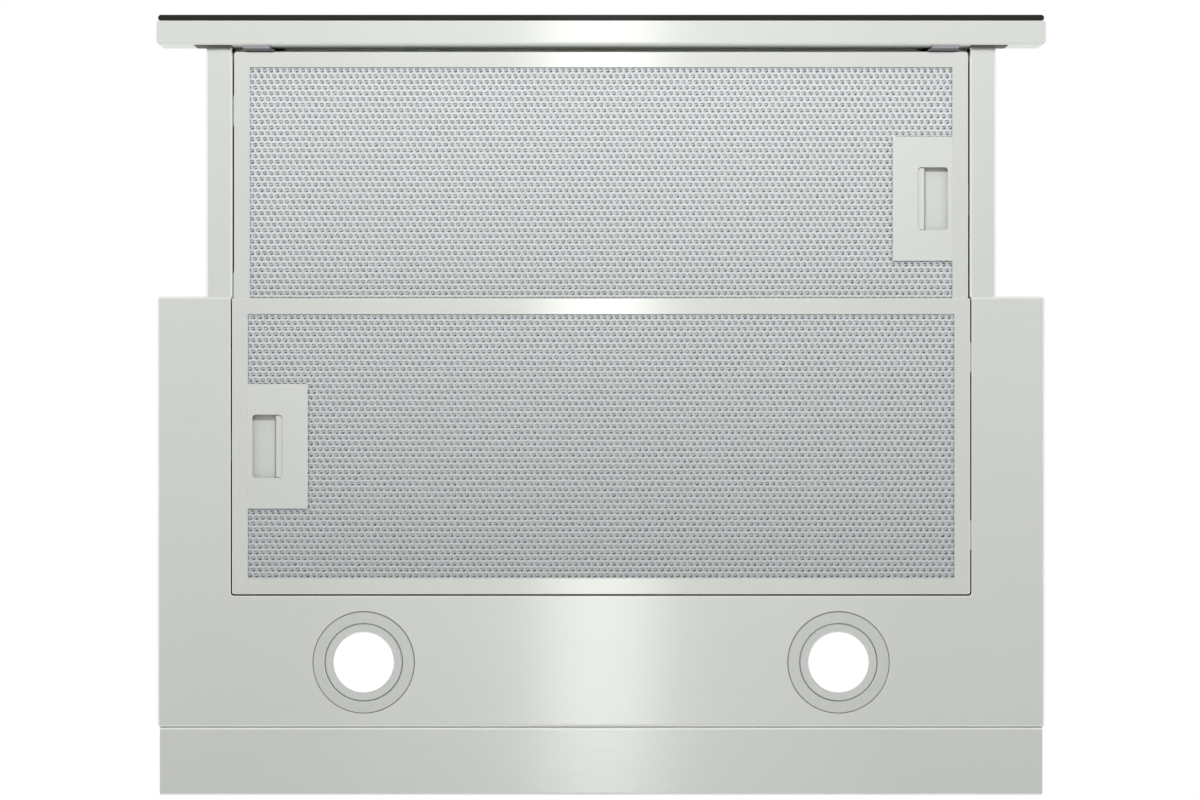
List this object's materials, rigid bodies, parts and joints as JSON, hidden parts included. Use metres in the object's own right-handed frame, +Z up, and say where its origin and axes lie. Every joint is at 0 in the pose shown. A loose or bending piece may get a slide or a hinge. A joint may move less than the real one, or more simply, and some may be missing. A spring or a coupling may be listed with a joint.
{
  "type": "built-in range hood",
  "caption": "Pull-out cooker hood for a wall cabinet: steel base with lamps and mesh grease filters, sliding front drawer with a glass-faced handle, upper blower housing and duct collar.",
  "frame": {"origin": "middle of the four cabinet screw holes, in the plane of the cabinet's underside (the top of the base's flange)", "axes": "+X to the right seen from below with the drawer's handle up, +Y back to the wall, +Z up along the duct"},
  "size_m": [0.598, 0.5254, 0.248],
  "materials": {
    "stainless": "satin stainless steel",
    "filler_steel": "satin stainless steel",
    "galvanised": "galvanised steel sheet",
    "slide_steel": "bright zinc-plated steel",
    "screw_steel": "zinc-plated steel",
    "clip_steel": "spring steel",
    "spring_steel": "spring steel",
    "shaft_steel": "ground steel",
    "filter_frame": "satin aluminium",
    "filter_mesh": "layers of expanded aluminium",
    "latch_grey": "light grey moulding",
    "lamp_metal": "satin metal",
    "lamp_lens": "frosted lens",
    "black_glass": "black-backed toughened glass",
    "black_plastic": "black moulding",
    "pale_plastic": "pale grey moulding",
    "collar_plastic": "black moulding",
    "blower_plastic": "dark grey moulding",
    "motor_iron": "laminated stator with plain end covers",
    "rubber": "soft rubber",
    "case_plastic": "off-white moulding",
    "capacitor_shell": "off-white shell",
    "board_green": "circuit board",
    "magnet_dark": "sintered magnet"
  },
  "bodies": {
    "housing": {"base_panel": "stainless", "upper_wrap": "galvanised", "rear_filler": "filler_steel", "side_plate_left": "galvanised", "side_plate_right": "galvanised", "side_bracket_left": "galvanised", "side_bracket_right": "galvanised", "slide_hanger_left": "galvanised", "slide_hanger_right": "galvanised", "slide_outer_left": "slide_steel", "slide_outer_right": "slide_steel", "scroll_half_left": "blower_plastic", "scroll_half_right": "blower_plastic", "motor_body": "motor_iron", "motor_bracket": "galvanised", "motor_bushes": "rubber", "run_capacitor": "capacitor_shell", "control_box": "case_plastic", "lamp_driver": "case_plastic", "cable_inlet": "black_plastic", "outlet_collar": "collar_plastic", "lamp_bezel_left": "lamp_metal", "lamp_bezel_right": "lamp_metal", "lamp_can_left": "lamp_metal", "lamp_can_right": "lamp_metal", "lamp_lens_left": "lamp_lens", "lamp_lens_right": "lamp_lens", "lamp_clips": "clip_steel", "housing_screws": "screw_steel", "drawer_sensor": "black_plastic"},
    "fan": {"impeller": "blower_plastic", "motor_shaft": "shaft_steel"},
    "flap_left": {"collar_flap_left": "black_plastic"},
    "flap_right": {"collar_flap_right": "black_plastic"},
    "slide_middle_left": {"slide_middle_left": "slide_steel", "slide_glides_left": "pale_plastic"},
    "slide_middle_right": {"slide_middle_right": "slide_steel", "slide_glides_right": "pale_plastic"},
    "drawer": {"drawer_pan": "stainless", "handle_profile": "stainless", "handle_glass": "black_glass", "touch_board": "board_green", "handle_carrier_left": "black_plastic", "handle_carrier_right": "black_plastic", "filter_clip_left": "pale_plastic", "filter_clip_right": "pale_plastic", "slide_inner_left": "slide_steel", "slide_inner_right": "slide_steel", "drawer_magnet": "magnet_dark", "handle_screws": "screw_steel", "front_filter_frame": "filter_frame", "front_filter_mesh": "filter_mesh", "front_latch_housing": "latch_grey", "front_latch_spring": "spring_steel"},
    "front_latch": {"front_latch_slider": "latch_grey"},
    "rear_filter": {"rear_filter_frame": "filter_frame", "rear_filter_mesh": "filter_mesh", "rear_latch_housing": "latch_grey", "rear_latch_spring": "spring_steel"},
    "rear_latch": {"rear_latch_slider": "latch_grey"}
  },
  "joints": [
    {"name": "drawer_slide", "type": "slide", "parent": "housing", "child": "drawer", "axis": [0, 1, 0], "range_m": [0, 0.168]},
    {"name": "slide_middle_left_slide", "type": "slide", "parent": "housing", "child": "slide_middle_left", "axis": [0, 1, 0], "range_m": [0, 0.084]},
    {"name": "slide_middle_right_slide", "type": "slide", "parent": "housing", "child": "slide_middle_right", "axis": [0, 1, 0], "range_m": [0, 0.084]},
    {"name": "rear_filter_tilt", "type": "hinge", "parent": "housing", "child": "rear_filter", "pos_m": [0.2498, -0.04415, -0.0395], "axis": [0, -1, 0], "range_deg": [0, 30]},
    {"name": "front_latch_slide", "type": "slide", "parent": "drawer", "child": "front_latch", "axis": [-1, 0, 0], "range_m": [0, 0.005], "stiffness_N_per_m": 300, "springref_m": -0.008, "deforming": ["front_latch_spring"]},
    {"name": "rear_latch_slide", "type": "slide", "parent": "rear_filter", "child": "rear_latch", "axis": [1, 0, 0], "range_m": [0, 0.005], "stiffness_N_per_m": 300, "springref_m": -0.008, "deforming": ["rear_latch_spring"]},
    {"name": "fan_spin", "type": "hinge", "parent": "housing", "child": "fan", "pos_m": [0, -0.04, 0.082], "axis": [1, 0, 0], "continuous": true},
    {"name": "flap_right_hinge", "type": "hinge", "parent": "housing", "child": "flap_right", "pos_m": [0.0035, 0.022, 0.17105], "axis": [0, -1, 0], "range_deg": [0, 80]},
    {"name": "flap_left_hinge", "type": "hinge", "parent": "housing", "child": "flap_left", "pos_m": [-0.0035, 0.022, 0.17105], "axis": [0, 1, 0], "range_deg": [0, 80]}
  ],
  "couplings": [
    {"joint": "slide_middle_left_slide", "follows": "drawer_slide", "ratio": 0.5},
    {"joint": "slide_middle_right_slide", "follows": "drawer_slide", "ratio": 0.5}
  ]
}
